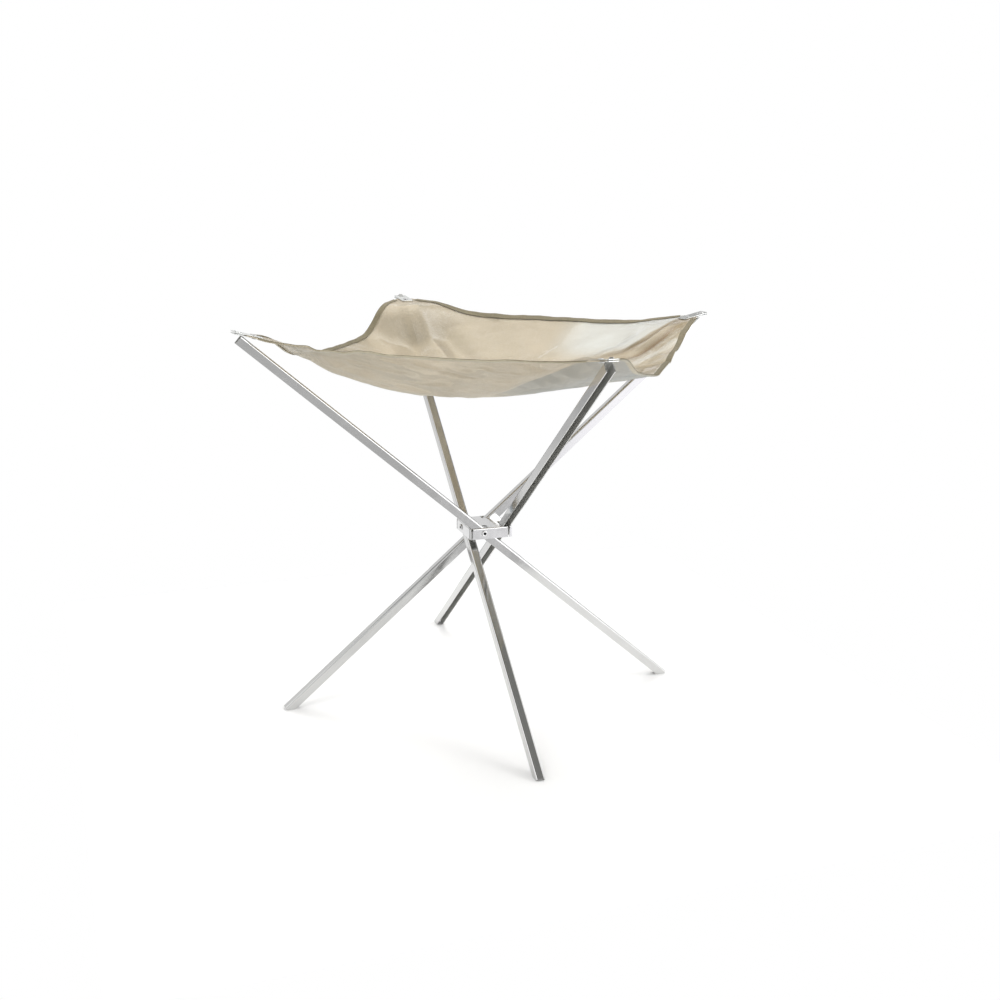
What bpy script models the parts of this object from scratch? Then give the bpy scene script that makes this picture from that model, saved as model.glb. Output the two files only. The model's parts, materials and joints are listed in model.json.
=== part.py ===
"""Folding mesh fire pit: four channel legs crossing in a hub, with a fire net hung on their tips.

Metres, +Z up, standing on z = 0. The hub axis is the Z axis. Leg A points its tip to -X,
and legs B, C and D are leg A turned a quarter turn each time.
"""
import math

import bmesh
import bpy
import numpy as np
from mathutils import Matrix, Vector

MM = 0.001

# Driving dimensions, millimetres and degrees

FIT_GAP = 0.3              # clearance between neighbouring pieces

LEG_TIP_LENGTH = 342.5     # pivot to the flange ends at the tip
LEG_FOOT_LENGTH = 307.5    # pivot to the web end at the foot
LEG_ANGLE = 40.5           # open leg above the ground
LEG_WIDTH = 9.5            # across the channel
LEG_DEPTH = 10.0           # web to free flange edge
LEG_SHEET = 1.0
LEG_BEND = 1.6             # outer bend radius
FOOT_SQUARE_CUT = 4.0      # square part of the foot end, the rest is cut level
TONGUE_LENGTH = 8.5
TONGUE_WIDTH = 5.0

PIVOT_OFFSET = 8.1         # pivot from the hub's middle plane, towards the tip
LEG_PLANE = 18.4           # leg middle plane from the hub axis
HUB_SHEET = 1.0
HUB_BEND = 1.3
HUB_WALL_DROP = 6.3        # wall bottom below the pivot
SLOT_END = 2.7             # inner end of each leg slot from the hub's middle plane
SEAM = 0.3                 # how far each wall stops short of its own inner corner

RIVET_SHANK = 1.9          # radius
RIVET_HEAD = 3.2
RIVET_HEAD_HEIGHT = 0.9
RIVET_BORE = 1.1
RIVET_BORE_DEPTH = 3.0

NET_SHEET = 0.6            # woven cloth
STRIP_SHEET = 0.4          # binding strip folded over each side
STRIP_WIDTH = 8.0
STRIP_START = 22.0         # strip ends, from the cloth's corner point along its side
PLATE_SHEET = 0.6
PLATE_HALF_WIDTH = 7.5
PLATE_RIM = 1.9            # plate left outside its hook slot
PLATE_INNER = 22.0         # plate end towards the middle
PLATE_CORNER = 3.0
HOOK_CLEARANCE = 0.8       # slot beyond each side of the leg's tongue
APEX = 3.0                 # where the cloth's two sides would meet
CORNER_RIVET_AT = 13.0     # corner rivet from the shoulder, towards the middle
CORNER_RIVET_SHANK = 1.3
CORNER_RIVET_HEAD = 2.6
CORNER_RIVET_HEAD_HEIGHT = 0.7

# The drape, read from the photo. Each side sags in the middle, two sides are loose and two taut.

CORNER_TILT = {"a": 15.0, "b": 9.5, "c": 12.0, "d": 6.0}    # plate slope down towards the middle
SIDE_SAG = {"ab": (11.0, 1.65), "bc": (42.0, 1.25), "dc": (14.0, 5.5), "ad": (40.0, 2.3)}
BOWL_DEPTH = 26.0
BOWL_POWER = 1.4           # above 1 the bowl gathers towards its middle
BOWL_SKEW = 0.7            # deeper towards side ad, where the load lies
CORNER_FLAT = (42.0, 105.0) # cloth lies in the plate's plane inside the first, free past the second
FOLD_HEIGHT = 3.0          # taut ridge along each diagonal, with a slack valley on each side
FOLD_PITCH = 52.0          # ridge to ridge, across the diagonal
FOLD_SPREAD = 45.0         # how far across the diagonal the folds last
FOLD_RISE = (42.0, 105.0)  # along the diagonal from the corner: none inside the first, full past
FOLD_FADE = (160.0, 250.0) # the second, then full up to the first of these and none past the second
NET_CELLS = 23
NET_FIRST_CELL = 8.8

LEG_NAMES = "abcd"

# Derived values

THETA = math.radians(LEG_ANGLE)
SIN = math.sin(THETA)
COS = math.cos(THETA)
PIVOT_HEIGHT = LEG_FOOT_LENGTH * SIN - (LEG_DEPTH / 2 - FOOT_SQUARE_CUT) * COS
HUB_INNER = LEG_PLANE + LEG_WIDTH / 2 + FIT_GAP
HUB_OUTER = HUB_INNER + HUB_SHEET
HUB_TOP = (HUB_INNER - PIVOT_OFFSET) * SIN / COS - (LEG_DEPTH / 2 + FIT_GAP) / COS
PLATE_STACK = PLATE_SHEET + FIT_GAP + NET_SHEET / 2     # lower plate's underside to cloth middle
HOOK_ANGLE = THETA - math.radians(max(CORNER_TILT.values()))   # least, tongue to plate
HOOK_SLOT_END = ((2 * PLATE_STACK + FIT_GAP) / math.tan(HOOK_ANGLE)
                 + LEG_SHEET / math.sin(HOOK_ANGLE) + FIT_GAP)
PLATE_OUTER = HOOK_SLOT_END + PLATE_RIM


def clear_scene():
    """Remove every object already in the file."""
    for obj in list(bpy.data.objects):
        bpy.data.objects.remove(obj, do_unlink=True)


def material(name, colour, roughness, metallic=1.0):
    """A plain Principled material."""
    mat = bpy.data.materials.new(name)
    mat.use_nodes = True
    shader = mat.node_tree.nodes["Principled BSDF"]
    shader.inputs["Base Color"].default_value = (*colour, 1.0)
    shader.inputs["Roughness"].default_value = roughness
    shader.inputs["Metallic"].default_value = metallic
    mat.diffuse_color = (*colour, 1.0)
    return mat


def new_object(name, mesh, mat=None, matrix=None):
    """Link one object, with its own material."""
    obj = bpy.data.objects.new(name, mesh)
    bpy.context.scene.collection.objects.link(obj)
    if mat is not None:
        if not mesh.materials:
            mesh.materials.append(None)
        obj.material_slots[0].link = "OBJECT"
        obj.material_slots[0].material = mat
    if matrix is not None:
        obj.matrix_world = matrix
    return obj


def to_mesh(name, bm, smooth_angle=None):
    """Turn a bmesh in millimetres into a mesh in metres with outward faces."""
    bmesh.ops.recalc_face_normals(bm, faces=bm.faces)
    bmesh.ops.scale(bm, vec=(MM, MM, MM), verts=bm.verts)
    mesh = bpy.data.meshes.new(name)
    bm.to_mesh(mesh)
    bm.free()
    if smooth_angle is not None:
        mesh.shade_smooth()
        mesh.set_sharp_from_angle(angle=math.radians(smooth_angle))
    return mesh


def prism(bm, outline, axis, low, high):
    """Extrude a closed outline of (p, q) pairs along an axis letter from low to high."""
    order = {"x": (2, 0, 1), "y": (0, 2, 1), "z": (0, 1, 2)}[axis]

    def place(p, q, r):
        return Vector([(p, q, r)[i] for i in order])

    verts = [bm.verts.new(place(p, q, low)) for p, q in outline]
    face = bm.faces.new(verts)
    moved = bmesh.ops.extrude_face_region(bm, geom=[face])
    shift = place(0, 0, high - low)
    top = [v for v in moved["geom"] if isinstance(v, bmesh.types.BMVert)]
    bmesh.ops.translate(bm, vec=shift, verts=top)
    return bm


def box(low, high):
    """A box between two corners."""
    bm = bmesh.new()
    outline = [(low[0], low[1]), (high[0], low[1]), (high[0], high[1]), (low[0], high[1])]
    return prism(bm, outline, "z", low[2], high[2])


def arc(centre, radius, start, end, steps):
    """Points on an arc, angles in degrees."""
    angles = [math.radians(start + (end - start) * i / steps) for i in range(steps + 1)]
    return [(centre[0] + radius * math.cos(a), centre[1] + radius * math.sin(a)) for a in angles]


def cylinder(radius, axis, centre, low, high, segments=24):
    """A cylinder along an axis letter."""
    bm = bmesh.new()
    outline = arc(centre, radius, 0, 360 * (1 - 1 / segments), segments - 1)
    return prism(bm, outline, axis, low, high)


def cut(mesh, cutters):
    """Take the cutters out of a mesh with the exact boolean solver."""
    host = new_object("cut_host", mesh)
    tools = []
    for i, bm in enumerate(cutters):
        tool = new_object(f"cutter_{i}", to_mesh(f"cutter_{i}", bm))
        tool.hide_render = True
        tool.display_type = "WIRE"
        tools.append(tool)
        mod = host.modifiers.new(f"cut_{i}", "BOOLEAN")
        mod.operation = "DIFFERENCE"
        mod.solver = "EXACT"
        mod.object = tool
    bpy.context.view_layer.update()
    done = bpy.data.meshes.new_from_object(host.evaluated_get(
        bpy.context.evaluated_depsgraph_get()))
    for obj in [host, *tools]:
        bpy.data.objects.remove(obj, do_unlink=True)
    bm = bmesh.new()
    bm.from_mesh(done)
    bmesh.ops.remove_doubles(bm, verts=bm.verts, dist=0.001 * MM)
    bmesh.ops.dissolve_limit(bm, angle_limit=math.radians(0.2), verts=bm.verts, edges=bm.edges)
    bmesh.ops.recalc_face_normals(bm, faces=bm.faces)
    bm.to_mesh(done)
    bm.free()
    done.name = mesh.name
    return done


def smooth(mesh, angle=35):
    """Smooth shading with sharp edges past an angle."""
    mesh.shade_smooth()
    mesh.set_sharp_from_angle(angle=math.radians(angle))
    return mesh


# Leg: a folded channel. Its mesh has the pivot at the origin and the channel along +X to -X,
# x towards the foot, z towards the web. The object is then tilted to the open angle.


def channel_outline():
    """The U section, web on top, as (across, up) pairs."""
    half = LEG_WIDTH / 2
    top = LEG_DEPTH / 2
    inner = LEG_BEND - LEG_SHEET
    edge = half - LEG_BEND
    points = [(half, -top)]
    points += arc((edge, top - LEG_BEND), LEG_BEND, 0, 90, 4)
    points += arc((-edge, top - LEG_BEND), LEG_BEND, 90, 180, 4)
    points += [(-half, -top), (-half + LEG_SHEET, -top)]
    points += arc((-edge, top - LEG_BEND), inner, 180, 90, 3)
    points += arc((edge, top - LEG_BEND), inner, 90, 0, 3)
    points += [(half - LEG_SHEET, -top)]
    return points


def leg_mesh():
    """One leg, its pivot at the origin, in the open position."""
    bm = bmesh.new()
    prism(bm, channel_outline(), "x", -LEG_TIP_LENGTH - TONGUE_LENGTH, LEG_FOOT_LENGTH)
    mesh = to_mesh("leg", bm)
    far = 3 * LEG_WIDTH
    tip = -LEG_TIP_LENGTH
    end = tip - 2 * TONGUE_LENGTH
    half = TONGUE_WIDTH / 2
    under_web = LEG_DEPTH / 2 - LEG_SHEET
    level = -(PIVOT_HEIGHT - LEG_DEPTH / 2 * COS) / SIN
    heel = (LEG_FOOT_LENGTH, LEG_DEPTH / 2 - FOOT_SQUARE_CUT)
    run = (LEG_DEPTH + FOOT_SQUARE_CUT) * COS / SIN
    foot = bmesh.new()
    prism(foot, [heel, (heel[0] - run, heel[1] - run * SIN / COS),
                 (heel[0] + far, heel[1] - run * SIN / COS), (heel[0] + far, heel[1])],
          "y", -far, far)
    nose = TONGUE_LENGTH - 1.2
    trim = bmesh.new()
    prism(trim, [(tip - nose, half), (tip - TONGUE_LENGTH - 0.1, half - 1.3),
                 (tip - TONGUE_LENGTH - 0.1, half + 1)], "z", -far, far)
    trim_other = bmesh.new()
    prism(trim_other, [(tip - nose, -half), (tip - TONGUE_LENGTH - 0.1, -half + 1.3),
                       (tip - TONGUE_LENGTH - 0.1, -half - 1)], "z", -far, far)
    mesh = cut(mesh, [
        foot,
        box((end, -far, -far), (tip, far, under_web)),
        box((end, half, -far), (tip, far, far)),
        box((end, -far, -far), (tip, -half, far)),
        trim,
        trim_other,
        cylinder(RIVET_SHANK + FIT_GAP, "y", (0, 0), -far, far),
    ])
    mesh.transform(Matrix.Rotation(THETA, 4, "Y"))
    return smooth(mesh)


def build_legs():
    """Four legs, each object's origin on its own pivot axis."""
    mesh = leg_mesh()
    pivot = Matrix.Translation(Vector((-PIVOT_OFFSET, -LEG_PLANE, PIVOT_HEIGHT)) * MM)
    for i, name in enumerate(LEG_NAMES):
        steel = material(f"leg_steel_{name}", (0.62, 0.62, 0.61), 0.3)
        turn = Matrix.Rotation(math.radians(90 * i), 4, "Z")
        new_object(f"leg_{name}", mesh, steel, turn @ pivot)


# Hub: one blank with a square top, four slots for the legs and four walls folded down.


def build_hub():
    """The folded hub, with its walls open at the corners."""
    base = PIVOT_HEIGHT - HUB_WALL_DROP
    top = PIVOT_HEIGHT + HUB_TOP
    bm = box((-HUB_OUTER, -HUB_OUTER, base), (HUB_OUTER, HUB_OUTER, top))
    rim = [e for e in bm.edges if all(abs(v.co.z - top) < 1e-6 for v in e.verts)]
    bmesh.ops.bevel(bm, geom=rim, offset=HUB_BEND, offset_type="OFFSET", segments=4,
                    profile=0.5, affect="EDGES", material=-1)
    mesh = to_mesh("hub", bm)
    cutters = [box((-HUB_INNER, -HUB_INNER, base - 5), (HUB_INNER, HUB_INNER, top - HUB_SHEET))]
    slot_inner = LEG_PLANE - LEG_WIDTH / 2 - FIT_GAP
    wall = HUB_INNER - SEAM
    for i in range(4):
        turn = Matrix.Rotation(math.radians(90 * i), 4, "Z")
        slot = box((-HUB_INNER, -HUB_INNER, base + 5), (-SLOT_END, -slot_inner, top + 5))
        corner = box((-HUB_OUTER - 5, -HUB_OUTER - 5, base - 5), (-wall, -wall, top + 5))
        hole = cylinder(RIVET_SHANK + FIT_GAP, "y", (-PIVOT_OFFSET, PIVOT_HEIGHT),
                        -HUB_OUTER - 5, -HUB_INNER + 2)
        for tool in (slot, corner, hole):
            bmesh.ops.transform(tool, matrix=turn, verts=tool.verts)
            cutters.append(tool)
    steel = material("hub_steel", (0.66, 0.66, 0.64), 0.28)
    new_object("hub", smooth(cut(mesh, cutters)), steel)


# Pivot rivets: tubular, turned profile of (radius, along) pairs, along runs inwards.


def turned(name, profile, segments=24):
    """Spin an open profile that starts and ends on the axis."""
    bm = bmesh.new()
    verts = [bm.verts.new((r, 0, z)) for r, z in profile]
    edges = [bm.edges.new(pair) for pair in zip(verts[:-1], verts[1:])]
    bmesh.ops.spin(bm, geom=verts + edges, cent=(0, 0, 0), axis=(0, 0, 1),
                   angle=2 * math.pi, steps=segments, use_merge=True, use_duplicate=False)
    bmesh.ops.remove_doubles(bm, verts=bm.verts, dist=1e-5)
    return to_mesh(name, bm, 35)


def rivet_profile(shank, head, height, low, high, bore=0.0, depth=0.0):
    """Round-edged heads outside low and high, with an optional hole in the low head."""
    soft = height * 0.6
    start = low - height
    points = [(0, start)]
    if bore:
        points = [(0, start + depth), (bore, start + depth), (bore, start + 0.15),
                  (bore + 0.15, start)]
    points += [(head - soft, start), (head - soft * 0.3, start + soft * 0.3),
               (head, start + soft), (head, low), (shank, low), (shank, high), (head, high),
               (head, high + height - soft), (head - soft * 0.3, high + height - soft * 0.3),
               (head - soft, high + height), (0, high + height)]
    return points


def build_pivot_rivets():
    """One rivet through each hub wall and the two flanges of its leg."""
    low = -(LEG_WIDTH / 2 + FIT_GAP + HUB_SHEET + FIT_GAP)
    high = LEG_WIDTH / 2 + FIT_GAP
    mesh = turned("pivot_rivet", rivet_profile(RIVET_SHANK, RIVET_HEAD, RIVET_HEAD_HEIGHT,
                                               low, high, RIVET_BORE, RIVET_BORE_DEPTH))
    mesh.transform(Matrix.Rotation(math.radians(-90), 4, "X"))
    place = Matrix.Translation(Vector((-PIVOT_OFFSET, -LEG_PLANE, PIVOT_HEIGHT)) * MM)
    for i, name in enumerate(LEG_NAMES):
        steel = material(f"rivet_steel_{name}", (0.45, 0.45, 0.44), 0.35)
        turn = Matrix.Rotation(math.radians(90 * i), 4, "Z")
        new_object(f"pivot_rivet_{name}", mesh, steel, turn @ place)


# Net corners. Each plate lies on its leg's shoulder, tilted down towards the middle.
# In a plate's own frame x points outwards, z up from the lower plate's underside.


def shoulder():
    """Top corner of leg A's flange ends, where its plate rests."""
    return Vector((-PIVOT_OFFSET - LEG_TIP_LENGTH * COS + LEG_DEPTH / 2 * SIN, -LEG_PLANE,
                   PIVOT_HEIGHT + LEG_TIP_LENGTH * SIN + LEG_DEPTH / 2 * COS))


def plate_frame(name):
    """World matrix of a corner plate, in millimetres."""
    point = shoulder()
    yaw = Matrix.Rotation(math.atan2(point.y, point.x), 4, "Z")
    tilt = Matrix.Rotation(-math.radians(CORNER_TILT[name]), 4, "Y")
    turn = Matrix.Rotation(math.radians(90 * LEG_NAMES.index(name)), 4, "Z")
    lift = Matrix.Translation((0, 0, FIT_GAP))
    return turn @ Matrix.Translation(point) @ yaw @ tilt @ lift


def metres(matrix):
    """The same placement with its translation in metres."""
    out = matrix.copy()
    out.translation = matrix.translation * MM
    return out


def plate_mesh():
    """The corner plate: rounded, with a hook slot and a rivet hole."""
    half = PLATE_HALF_WIDTH
    r = PLATE_CORNER
    outline = []
    for sx, sy, start in ((1, 1, 0), (-1, 1, 90), (-1, -1, 180), (1, -1, 270)):
        x = (PLATE_OUTER - r) if sx > 0 else (-PLATE_INNER + r)
        outline += arc((x, sy * (half - r)), r, start, start + 90, 4)
    bm = bmesh.new()
    prism(bm, outline, "z", 0, PLATE_SHEET)
    mesh = to_mesh("plate", bm)
    wide = TONGUE_WIDTH / 2 + HOOK_CLEARANCE
    slot = box((0, -wide, -5), (HOOK_SLOT_END, wide, 5))
    hole = cylinder(CORNER_RIVET_SHANK + FIT_GAP, "z", (-CORNER_RIVET_AT, 0), -5, 5, 20)
    return smooth(cut(mesh, [slot, hole]), 30)


def build_corners():
    """Lower plate, upper plate and rivet at each corner."""
    plate = plate_mesh()
    step = 2 * PLATE_STACK - PLATE_SHEET
    top = 2 * PLATE_STACK
    rivet = turned("corner_rivet", rivet_profile(
        CORNER_RIVET_SHANK, CORNER_RIVET_HEAD, CORNER_RIVET_HEAD_HEIGHT,
        -FIT_GAP, top + FIT_GAP), 20)
    for name in LEG_NAMES:
        frame = plate_frame(name)
        up = Matrix.Translation((0, 0, step))
        at = Matrix.Translation((-CORNER_RIVET_AT, 0, 0))
        bright = material(f"plate_steel_{name}", (0.72, 0.72, 0.71), 0.25)
        bright_top = material(f"top_plate_steel_{name}", (0.72, 0.72, 0.71), 0.25)
        rivet_steel = material(f"corner_rivet_steel_{name}", (0.6, 0.6, 0.6), 0.3)
        new_object(f"plate_lower_{name}", plate, bright, metres(frame))
        new_object(f"plate_upper_{name}", plate, bright_top, metres(frame @ up))
        new_object(f"corner_rivet_{name}", rivet, rivet_steel, metres(frame @ at))


# Net. u runs from corner A to B, v from A to D, both from -1 to 1.


def corner_points():
    """Where the cloth's sides would meet at each corner."""
    local = Vector((APEX, 0, PLATE_STACK))
    return {name: np.array(plate_frame(name) @ local) for name in LEG_NAMES}


def side_sag(side, t):
    """How far a side hangs below the line between its corners."""
    depth, power = SIDE_SAG[side]
    return depth * (1 - abs(t) ** power)


def ease(x):
    """Smooth step from 0 to 1."""
    x = min(max(x, 0.0), 1.0)
    return x * x * (3 - 2 * x)


def diagonal_fold(away, outward):
    """Height that the folds beside one corner's diagonal add, at a point away from that corner."""
    along = -float(away @ outward)
    across = float(away[1] * outward[0] - away[0] * outward[1])
    reach = ease((along - FOLD_RISE[0]) / (FOLD_RISE[1] - FOLD_RISE[0]))
    reach *= 1 - ease((along - FOLD_FADE[0]) / (FOLD_FADE[1] - FOLD_FADE[0]))
    wave = math.cos(2 * math.pi * across / FOLD_PITCH) * math.exp(-(across / FOLD_SPREAD) ** 2)
    return FOLD_HEIGHT * reach * wave


def net_point(u, v, corners):
    """Middle surface of the cloth."""
    weights = {"a": (1 - u) * (1 - v) / 4, "b": (1 + u) * (1 - v) / 4,
               "c": (1 + u) * (1 + v) / 4, "d": (1 - u) * (1 + v) / 4}
    point = sum(weights[k] * corners[k] for k in LEG_NAMES)
    drop = (1 - v) / 2 * side_sag("ab", u) + (1 + v) / 2 * side_sag("dc", u)
    drop += (1 + u) / 2 * side_sag("bc", v) + (1 - u) / 2 * side_sag("ad", v)
    bowl = max((1 - u * u) * (1 - v * v), 0.0) ** BOWL_POWER
    drop += BOWL_DEPTH * bowl * (1 - BOWL_SKEW * u)
    height = point[2] - drop
    for name in LEG_NAMES:
        away = point[:2] - corners[name][:2]
        outward = corners[name][:2] / np.hypot(*corners[name][:2])
        height += diagonal_fold(away, outward)
        free = ease((np.hypot(*away) - CORNER_FLAT[0]) / (CORNER_FLAT[1] - CORNER_FLAT[0]))
        if free < 1.0:
            slope = math.tan(math.radians(CORNER_TILT[name]))
            flat = corners[name][2] + slope * float(away @ outward)
            height = free * height + (1 - free) * flat
    return np.array([point[0], point[1], height])


def net_stations(length):
    """Positions along a side, -1 to 1, with a short first and last cell."""
    first = NET_FIRST_CELL / length
    inner = np.linspace(first, 1 - first, NET_CELLS - 1)
    return np.concatenate([[0.0], inner, [1.0]]) * 2 - 1


def net_grid():
    """Grid of middle-surface points and its normals, corners cut off across the first cell."""
    corners = corner_points()
    length = float(np.linalg.norm((corners["b"] - corners["a"])[:2]))
    stations = net_stations(length)
    grid = np.array([[net_point(u, v, corners) for v in stations] for u in stations])
    normals = grid_normals(grid)
    for i, j in ((0, 0), (0, -1), (-1, 0), (-1, -1)):
        near_i = 1 if i == 0 else -2
        near_j = 1 if j == 0 else -2
        grid[i, j] = (grid[near_i, j] + grid[i, near_j]) / 2
    return grid, normals


def grid_normals(grid):
    """Upward unit normals of a grid."""
    du = np.gradient(grid, axis=0)
    dv = np.gradient(grid, axis=1)
    normal = np.cross(du, dv)
    return normal / np.linalg.norm(normal, axis=2, keepdims=True)


def split_quad(bm, ring, other):
    """Two triangles from a quad, cut from its first corner, or from its second if other."""
    a, b, c, d = ring
    if other:
        a, b, c, d = b, c, d, a
    bm.faces.new([a, b, c])
    bm.faces.new([a, c, d])


def build_net(grid, normals):
    """The cloth as one thin solid. Border cells are cut the same way as the strips over them."""
    count = len(grid)
    bm = bmesh.new()
    half = NET_SHEET / 2
    top = [[bm.verts.new(grid[i, j] + half * normals[i, j]) for j in range(count)]
           for i in range(count)]
    low = [[bm.verts.new(grid[i, j] - half * normals[i, j]) for j in range(count)]
           for i in range(count)]
    last = count - 1
    for i in range(last):
        for j in range(last):
            other = j == last - 1 or i == last - 1
            split_quad(bm, [top[i][j], top[i + 1][j], top[i + 1][j + 1], top[i][j + 1]], other)
            split_quad(bm, [low[i + 1][j], low[i][j], low[i][j + 1], low[i + 1][j + 1]], not other)
    ring = [(i, 0) for i in range(last)] + [(last, j) for j in range(last)]
    ring += [(i, last) for i in range(last, 0, -1)] + [(0, j) for j in range(last, 0, -1)]
    for (i, j), (k, m) in zip(ring, ring[1:] + ring[:1]):
        bm.faces.new([top[i][j], low[i][j], low[k][m], top[k][m]])
    mesh = to_mesh("fire_net", bm)
    cutters = []
    for name in LEG_NAMES:
        tool = cylinder(CORNER_RIVET_SHANK + FIT_GAP, "z", (-CORNER_RIVET_AT, 0), -5, 8, 20)
        bmesh.ops.transform(tool, matrix=plate_frame(name), verts=tool.verts)
        cutters.append(tool)
    cloth = material("wire_cloth", (0.5, 0.47, 0.4), 0.5)
    new_object("fire_net", smooth(cut(mesh, cutters), 50), cloth)


def side_rows(grid, normals, side):
    """A side's edge points, the next row in, and their normals."""
    rows = {
        "ab": (grid[:, 0], grid[:, 1], normals[:, 0]),
        "bc": (grid[-1], grid[-2], normals[-1]),
        "dc": (grid[:, -1], grid[:, -2], normals[:, -1]),
        "ad": (grid[0], grid[1], normals[0]),
    }
    return rows[side]


def build_strips(grid, normals):
    """Four binding strips, each a U folded over one side of the cloth."""
    corners = corner_points()
    inner = NET_SHEET / 2 + FIT_GAP
    outer = inner + STRIP_SHEET
    section = [(STRIP_WIDTH, outer), (-FIT_GAP - STRIP_SHEET, outer),
               (-FIT_GAP - STRIP_SHEET, -outer), (STRIP_WIDTH, -outer), (STRIP_WIDTH, -inner),
               (-FIT_GAP, -inner), (-FIT_GAP, inner), (STRIP_WIDTH, inner)]
    for side in SIDE_SAG:
        edge, inside, normal = side_rows(grid, normals, side)
        edge = edge.copy()
        edge[0] = corners[side[0]]
        edge[-1] = corners[side[1]]
        length = float(np.linalg.norm((edge[-1] - edge[0])[:2]))
        along = np.array([np.linalg.norm((p - edge[0])[:2]) for p in edge])
        keep = [STRIP_START] + [a for a in along if STRIP_START + 3 < a < length - STRIP_START - 3]
        keep.append(length - STRIP_START)
        bm = bmesh.new()
        loops = []
        for a in keep:
            point = np.array([np.interp(a, along, edge[:, k]) for k in range(3)])
            next_in = np.array([np.interp(a, along, inside[:, k]) for k in range(3)])
            up = np.array([np.interp(a, along, normal[:, k]) for k in range(3)])
            inward = next_in - point
            inward /= np.linalg.norm(inward)
            up -= inward * float(up @ inward)
            up /= np.linalg.norm(up)
            loops.append([bm.verts.new(point + inward * p + up * q) for p, q in section])
        count = len(section)
        for one, two in zip(loops[:-1], loops[1:]):
            for k in range(count):
                nxt = (k + 1) % count
                outwards = section[nxt][0] < section[k][0]
                split_quad(bm, [one[k], one[nxt], two[nxt], two[k]], outwards)
        bm.faces.new(loops[0])
        bm.faces.new(list(reversed(loops[-1])))
        steel = material(f"strip_cloth_{side}", (0.36, 0.34, 0.27), 0.5)
        new_object(f"strip_{side}", to_mesh(f"strip_{side}", bm, 40), steel)


def build():
    """Build every piece."""
    clear_scene()
    build_hub()
    build_pivot_rivets()
    build_legs()
    grid, normals = net_grid()
    build_net(grid, normals)
    build_strips(grid, normals)
    build_corners()


build()
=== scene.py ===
# %% [markdown]
# # Dressing a folding mesh fire pit
#
# The real object is a stand of four folded steel channels that cross in a small square hub, with a
# sheet of woven steel wire hung on their tips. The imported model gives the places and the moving
# bodies. This script gives each piece its rolled bends, broken edges, weave and finish.

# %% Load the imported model
import json
import math

import bmesh
import bpy
import numpy as np
from mathutils import Matrix, Vector, noise

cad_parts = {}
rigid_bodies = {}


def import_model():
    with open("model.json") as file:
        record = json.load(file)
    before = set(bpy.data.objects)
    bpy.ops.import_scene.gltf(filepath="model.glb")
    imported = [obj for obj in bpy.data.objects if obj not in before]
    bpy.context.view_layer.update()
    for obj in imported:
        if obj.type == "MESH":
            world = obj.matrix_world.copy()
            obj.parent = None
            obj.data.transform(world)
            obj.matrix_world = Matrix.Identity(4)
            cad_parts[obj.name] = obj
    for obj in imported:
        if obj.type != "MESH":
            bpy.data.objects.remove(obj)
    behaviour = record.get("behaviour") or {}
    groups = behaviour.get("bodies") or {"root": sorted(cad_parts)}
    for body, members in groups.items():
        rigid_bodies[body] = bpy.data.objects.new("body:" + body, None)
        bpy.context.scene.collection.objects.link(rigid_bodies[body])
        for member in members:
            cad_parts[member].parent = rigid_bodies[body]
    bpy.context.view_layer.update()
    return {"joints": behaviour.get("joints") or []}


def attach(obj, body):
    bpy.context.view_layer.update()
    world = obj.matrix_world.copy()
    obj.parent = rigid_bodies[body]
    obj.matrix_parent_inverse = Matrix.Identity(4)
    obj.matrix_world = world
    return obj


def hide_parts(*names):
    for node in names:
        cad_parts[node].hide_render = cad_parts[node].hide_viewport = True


# the factory file comes with objects of its own
for leftover in list(bpy.data.objects):
    bpy.data.objects.remove(leftover, do_unlink=True)
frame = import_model()

# %% [markdown]
# ## Camera
#
# A lens is not only a focal length: where the camera stands decides how lines run together. This
# place was worked out from the legs and the hub, whose shape is known, so the frame and the
# photograph fall on each other. A little lens shift keeps the framing without turning the camera.

# %% Camera
CAMERA_PLACE = (-0.45549, -1.25434, 0.59648)
CAMERA_TURN = (1.281944, -0.013872, -0.344203)
CAMERA_SENSOR = 36                   # mm, as its focal length
CAMERA_FOCAL = 44.52723
CAMERA_SHIFT = (0.015924, 0.026081)

lens = bpy.data.cameras.new("studio_camera")
lens.sensor_width = CAMERA_SENSOR
lens.lens = CAMERA_FOCAL
lens.shift_x, lens.shift_y = CAMERA_SHIFT
lens.clip_start = 0.01
camera = bpy.data.objects.new("studio_camera", lens)
camera.location = CAMERA_PLACE
camera.rotation_euler = CAMERA_TURN
bpy.context.scene.collection.objects.link(camera)
bpy.context.scene.camera = camera
print("camera at", CAMERA_PLACE)

# %% [markdown]
# ## Working in millimetres
#
# Sheet metal is drawn in millimetres, so each shape is built in them and scaled once, at the end.
# Every piece passes through the same small helpers. They cut holes, round bends, break sharp edges,
# thicken a skin, lay flat texture coordinates along the rolling direction, give the inner faces
# their duller, darker finish, whose darkness is painted shade, and place the finished piece.

# %% Helpers for shapes
MM = 0.001
REACH = 5.0                # mm that a punch reaches beyond the sheet it cuts


def block(low, high):
    """A box between two corners."""
    bm = bmesh.new()
    bmesh.ops.create_cube(bm, size=1)
    size = Vector(high) - Vector(low)
    middle = (Vector(high) + Vector(low)) / 2
    bmesh.ops.scale(bm, vec=size, verts=bm.verts)
    bmesh.ops.translate(bm, vec=middle, verts=bm.verts)
    return bm


def drill(radius, axis, centre, depth):
    """A round cutter along an axis letter, through its centre."""
    bm = bmesh.new()
    bmesh.ops.create_cone(bm, cap_ends=True, segments=32, radius1=radius, radius2=radius,
                          depth=depth)
    turn = {"x": Matrix.Rotation(math.pi / 2, 4, "Y"), "y": Matrix.Rotation(math.pi / 2, 4, "X"),
            "z": Matrix.Identity(4)}[axis]
    bmesh.ops.transform(bm, matrix=Matrix.Translation(centre) @ turn, verts=bm.verts)
    return bm


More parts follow.
